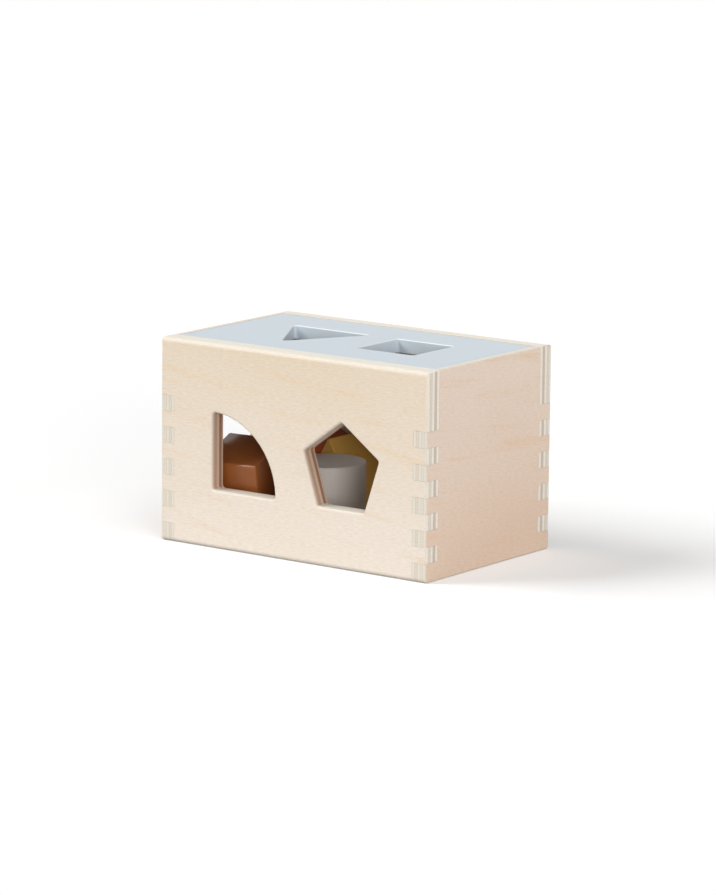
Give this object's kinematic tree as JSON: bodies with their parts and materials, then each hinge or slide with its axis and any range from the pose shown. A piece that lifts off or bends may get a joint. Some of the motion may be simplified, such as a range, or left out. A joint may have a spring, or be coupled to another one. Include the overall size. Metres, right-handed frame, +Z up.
{
  "type": "shape sorter box",
  "caption": "Finger-jointed plywood shape sorter box with a painted lift-off lid, shaped holes in lid, front and end, and loose lacquered blocks that fit through the holes.",
  "frame": {"origin": "on the surface that the box stands on, below the middle of the box", "axes": "+X to the right along the front panel, +Y from the front panel to the back panel, +Z up"},
  "size_m": [0.202, 0.13, 0.128],
  "materials": {
    "plywood": "clear satin lacquer on pale plywood",
    "lid_paint": "satin pale blue-grey paint",
    "brown_lacquer": "glossy caramel brown lacquer",
    "grey_lacquer": "satin light grey lacquer",
    "mustard_lacquer": "satin mustard lacquer",
    "rust_lacquer": "satin rust lacquer",
    "blue_grey_lacquer": "satin blue-grey lacquer"
  },
  "bodies": {
    "box": {"front_panel": "plywood", "back_panel": "plywood", "left_end_panel": "plywood", "right_end_panel": "plywood", "floor_panel": "plywood"},
    "lid": {"lid": "lid_paint"},
    "square_block": {"square_block": "blue_grey_lacquer"},
    "round_block": {"round_block": "grey_lacquer"},
    "triangle_block": {"triangle_block": "mustard_lacquer"},
    "quarter_block": {"quarter_block": "rust_lacquer"},
    "pentagon_block": {"pentagon_block": "brown_lacquer"}
  },
  "joints": [
    {"name": "lid_lift", "type": "slide", "parent": "box", "child": "lid", "axis": [0, 0, 1], "range_m": [0, 0.08]},
    {"name": "square_block_lift", "type": "slide", "parent": "box", "child": "square_block", "axis": [0, 0, 1], "range_m": [0, 0.064]},
    {"name": "round_block_lift", "type": "slide", "parent": "box", "child": "round_block", "axis": [0, 0, 1], "range_m": [0, 0.064]},
    {"name": "triangle_block_lift", "type": "slide", "parent": "box", "child": "triangle_block", "axis": [0.5, 0, 0.866], "range_m": [0, 0.055]},
    {"name": "quarter_block_lift", "type": "slide", "parent": "box", "child": "quarter_block", "axis": [0, 0, 1], "range_m": [0, 0.043]},
    {"name": "pentagon_block_lift", "type": "slide", "parent": "box", "child": "pentagon_block", "axis": [0, 0, 1], "range_m": [0, 0.053]}
  ]
}
